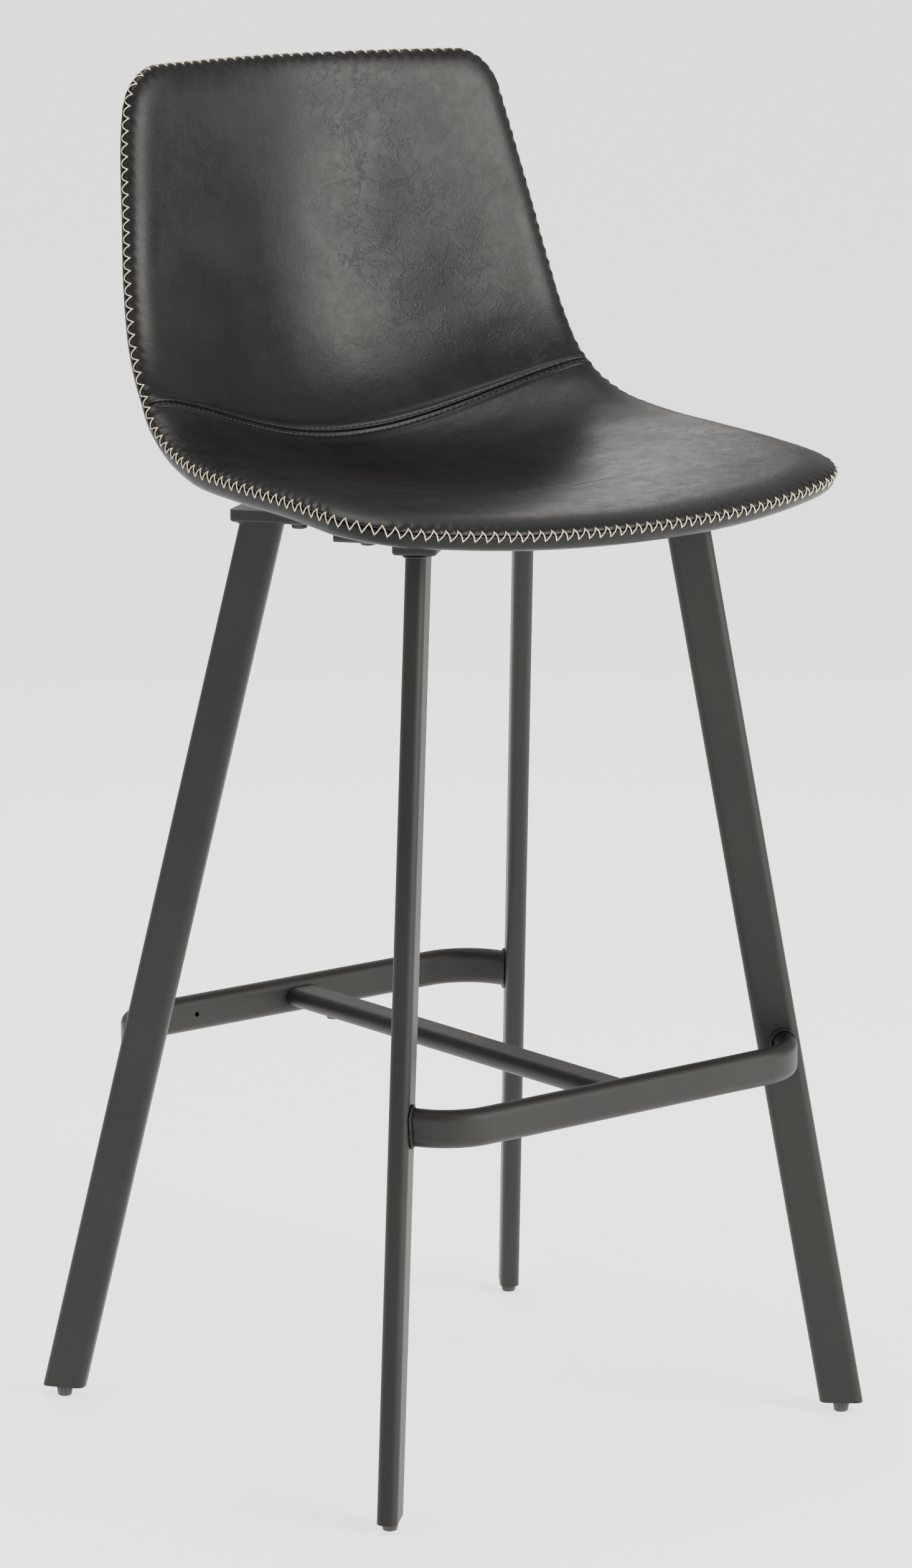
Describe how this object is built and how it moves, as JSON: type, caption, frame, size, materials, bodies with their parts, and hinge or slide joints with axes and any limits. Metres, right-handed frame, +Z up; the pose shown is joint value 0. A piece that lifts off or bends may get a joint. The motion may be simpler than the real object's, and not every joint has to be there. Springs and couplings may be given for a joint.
{
  "type": "bar stool",
  "caption": "Bar stool with a padded one-piece bucket seat, splayed flattened-tube legs, an H-shaped footrest and screw-in levelling feet.",
  "frame": {"origin": "on the floor under the middle of the stool's outline", "axes": "+Z up, -Y towards the way the sitter faces, +X to the right as seen from the front; symmetric about X = 0"},
  "size_m": [0.4768, 0.4514, 1.036],
  "materials": {
    "leather": "black coated leather look, fine grain, semi-gloss",
    "powder_coat": "matt fine-textured black powder coat",
    "glide_plastic": "moulded black plastic",
    "black_steel": "blackened steel fasteners",
    "zinc_steel": "bright zinc-plated thread",
    "foam": "upholstery foam, hidden",
    "moulded_shell": "moulded plywood, hidden"
  },
  "bodies": {
    "frame": {"arm_front_left": "powder_coat", "arm_front_right": "powder_coat", "arm_rear_left": "powder_coat", "arm_rear_right": "powder_coat", "arm_welds": "powder_coat", "back_cover": "leather", "back_foam": "foam", "bracket_bolts": "black_steel", "bracket_left": "powder_coat", "bracket_right": "powder_coat", "cross_bar": "powder_coat", "cross_bar_screws": "black_steel", "cross_bar_spigots": "powder_coat", "footrest_welds": "powder_coat", "front_bridge": "powder_coat", "front_footrest_bar": "powder_coat", "glide_inserts": "zinc_steel", "leg_front_left": "powder_coat", "leg_front_right": "powder_coat", "leg_plugs": "glide_plastic", "leg_rear_left": "powder_coat", "leg_rear_right": "powder_coat", "rear_bridge": "powder_coat", "rear_footrest_bar": "powder_coat", "seat_cover": "leather", "seat_foam": "foam", "seat_screws": "black_steel", "seat_shell": "moulded_shell", "seat_washers": "black_steel", "tee_nuts": "zinc_steel", "under_cover": "leather"},
    "stud_front_left": {"foot_stud_front_left": "zinc_steel"},
    "foot_front_left": {"foot_front_left": "glide_plastic"},
    "stud_front_right": {"foot_stud_front_right": "zinc_steel"},
    "foot_front_right": {"foot_front_right": "glide_plastic"},
    "stud_rear_left": {"foot_stud_rear_left": "zinc_steel"},
    "foot_rear_left": {"foot_rear_left": "glide_plastic"},
    "stud_rear_right": {"foot_stud_rear_right": "zinc_steel"},
    "foot_rear_right": {"foot_rear_right": "glide_plastic"}
  },
  "joints": [
    {"name": "foot_travel_front_left", "type": "slide", "parent": "frame", "child": "stud_front_left", "axis": [0, 0, -1], "range_m": [0, 0.008]},
    {"name": "foot_turn_front_left", "type": "hinge", "parent": "stud_front_left", "child": "foot_front_left", "pos_m": [-0.22261, -0.20053, 0], "axis": [0, 0, -1], "range_deg": [0, 2881]},
    {"name": "foot_travel_front_right", "type": "slide", "parent": "frame", "child": "stud_front_right", "axis": [0, 0, -1], "range_m": [0, 0.008]},
    {"name": "foot_turn_front_right", "type": "hinge", "parent": "stud_front_right", "child": "foot_front_right", "pos_m": [0.22261, -0.20053, 0], "axis": [0, 0, -1], "range_deg": [0, 2881]},
    {"name": "foot_travel_rear_left", "type": "slide", "parent": "frame", "child": "stud_rear_left", "axis": [0, 0, -1], "range_m": [0, 0.008]},
    {"name": "foot_turn_rear_left", "type": "hinge", "parent": "stud_rear_left", "child": "foot_rear_left", "pos_m": [-0.22467, 0.20976, 0], "axis": [0, 0, -1], "range_deg": [0, 2881]},
    {"name": "foot_travel_rear_right", "type": "slide", "parent": "frame", "child": "stud_rear_right", "axis": [0, 0, -1], "range_m": [0, 0.008]},
    {"name": "foot_turn_rear_right", "type": "hinge", "parent": "stud_rear_right", "child": "foot_rear_right", "pos_m": [0.22467, 0.20976, 0], "axis": [0, 0, -1], "range_deg": [0, 2881]}
  ],
  "couplings": [
    {"joint": "foot_turn_front_left", "follows": "foot_travel_front_left", "rad_per_m": 6283.2},
    {"joint": "foot_turn_front_right", "follows": "foot_travel_front_right", "rad_per_m": 6283.2},
    {"joint": "foot_turn_rear_left", "follows": "foot_travel_rear_left", "rad_per_m": 6283.2},
    {"joint": "foot_turn_rear_right", "follows": "foot_travel_rear_right", "rad_per_m": 6283.2}
  ]
}
